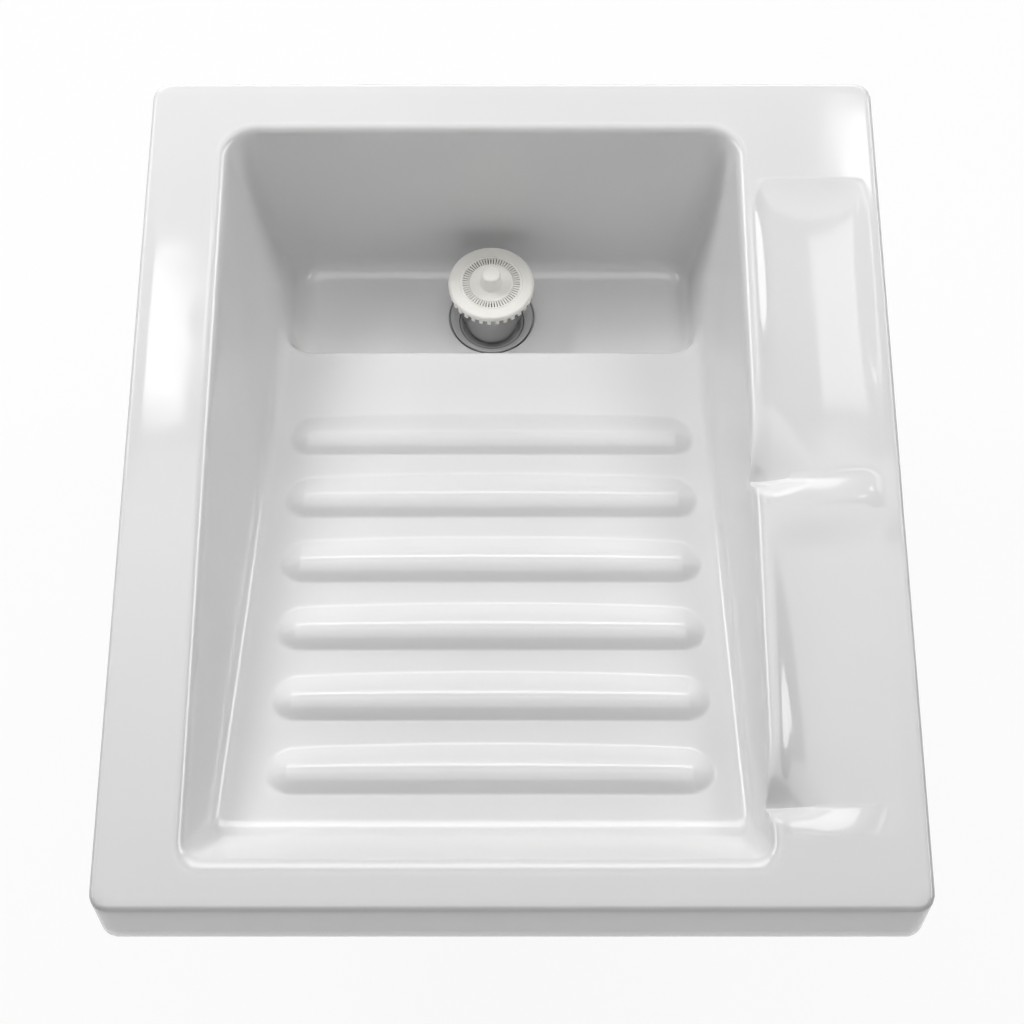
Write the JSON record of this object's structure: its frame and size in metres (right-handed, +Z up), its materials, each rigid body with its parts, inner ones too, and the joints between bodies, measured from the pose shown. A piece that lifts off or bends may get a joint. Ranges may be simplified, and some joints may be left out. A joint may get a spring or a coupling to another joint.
{
  "type": "laundry sink with washboard",
  "caption": "Moulded laundry sink with a ridged washboard ramp falling to a deep drain well, soap trays on the right rim and a lift-out basket strainer.",
  "frame": {"origin": "middle of the apron's lower edge, in the plane that rests on the cabinet or worktop", "axes": "+X to the right as seen from the user, +Y to the far side where the drain well is, +Z up"},
  "size_m": [0.5, 0.6, 0.312],
  "materials": {
    "gelcoat": "gloss",
    "cream_plastic": "satin",
    "white_plastic": "matte",
    "steel": "polished",
    "rubber": "matte"
  },
  "bodies": {
    "sink": {"sink_body": "gelcoat", "drain_body": "steel", "flange_gasket": "rubber", "floor_washer": "rubber", "slip_ring": "white_plastic", "drain_backnut": "white_plastic", "outlet_gasket": "rubber", "tailpiece": "white_plastic", "coupling_nut": "white_plastic"},
    "strainer": {"strainer_cap": "cream_plastic", "strainer_knob": "cream_plastic", "basket_cup": "steel", "strainer_stem": "steel", "stopper_seal": "rubber", "stem_washer": "steel", "stem_nut": "steel", "grip_ring": "rubber"}
  },
  "joints": [
    {"name": "strainer_lift", "type": "slide", "parent": "sink", "child": "strainer", "axis": [0, 0, 1], "range_m": [-0.0387, 0.2]}
  ]
}
